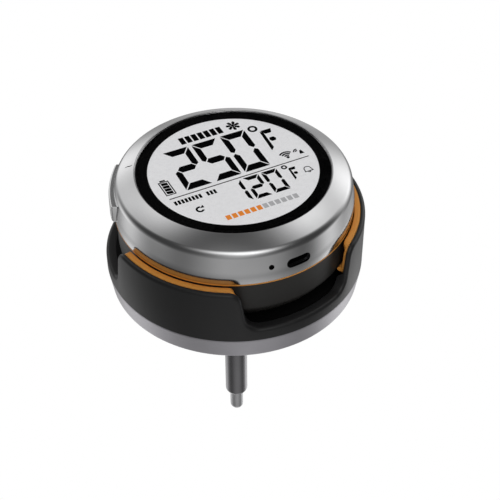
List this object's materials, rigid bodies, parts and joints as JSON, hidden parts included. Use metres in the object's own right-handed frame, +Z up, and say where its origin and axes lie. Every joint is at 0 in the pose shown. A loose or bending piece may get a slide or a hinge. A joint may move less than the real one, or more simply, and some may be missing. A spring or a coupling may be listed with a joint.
{
  "type": "lid-mounted wireless meat thermometer",
  "caption": "Round wireless thermometer display that lifts out of a winged magnetic dock, with a sensing stem below that goes through a grill lid.",
  "frame": {"origin": "centre of the metal plate's underside, the face that seats on the grill lid, on the stem's axis", "axes": "+Z up along the stem axis to the glass; -Y the side with the charging port; +X to the right of the port seen from outside"},
  "size_m": [0.094, 0.094, 0.1261],
  "materials": {
    "satin_silver": "satin, fine brushed",
    "glass": "gloss",
    "black_print": "gloss",
    "lcd": "matte",
    "diffuser": "matte",
    "orange_plastic": "satin",
    "orange_rubber": "matte",
    "dark_plastic": "satin",
    "black_plastic": "satin",
    "plate_steel": "satin, blasted",
    "stem_steel": "satin",
    "board": "solder mask",
    "bright_metal": "bright",
    "gold_plate": "plated",
    "cell_wrap": "film",
    "sensor_epoxy": "matte",
    "lead_sleeve": "matte"
  },
  "bodies": {
    "dock": {"outer_shell": "black_plastic", "orange_liner": "orange_rubber", "dock_floor": "dark_plastic", "bottom_plate": "plate_steel", "dock_magnets": "bright_metal", "contact_block": "black_plastic", "contact_springs": "bright_metal", "dock_board": "board", "dock_screws": "bright_metal", "mount_collar": "stem_steel", "stem_tube": "stem_steel", "probe_tip": "stem_steel", "temperature_sensor": "sensor_epoxy", "sensor_leads": "lead_sleeve"},
    "display": {"bezel_housing": "satin_silver", "glass_lens": "glass", "lens_border": "black_print", "lcd_panel": "lcd", "backlight": "diffuser", "accent_ring": "orange_plastic", "lower_housing": "dark_plastic", "main_board": "board", "radio_module": "bright_metal", "battery": "cell_wrap", "usb_port": "bright_metal", "buzzer": "black_plastic", "button_switch": "black_plastic", "display_magnets": "bright_metal", "contact_pads": "gold_plate", "housing_screws": "bright_metal"},
    "button": {"power_button": "satin_silver", "button_plunger": "black_plastic"},
    "pins": {"contact_pins": "gold_plate"},
    "washer": {"collar_washer": "stem_steel"},
    "nut": {"lock_nut": "stem_steel"}
  },
  "joints": [
    {"name": "display_lift", "type": "slide", "parent": "dock", "child": "display", "axis": [0, 0, 1], "range_m": [0, 0.035]},
    {"name": "button_press", "type": "slide", "parent": "display", "child": "button", "axis": [0.866, -0.5, 0], "range_m": [0, 0.0006], "stiffness_N_per_m": 2000},
    {"name": "contact_press", "type": "slide", "parent": "dock", "child": "pins", "axis": [0, 0, -1], "range_m": [0, 0.0008], "stiffness_N_per_m": 1000, "deforming": ["contact_springs"]},
    {"name": "washer_travel", "type": "slide", "parent": "dock", "child": "washer", "axis": [0, 0, -1], "range_m": [0, 0.0075]},
    {"name": "nut_turn", "type": "hinge", "parent": "washer", "child": "nut", "pos_m": [0, 0, -0.0057], "axis": [0, 0, -1], "range_deg": [0, 2160]}
  ],
  "couplings": [
    {"joint": "washer_travel", "follows": "nut_turn", "m_per_rad": 0.00019894}
  ]
}
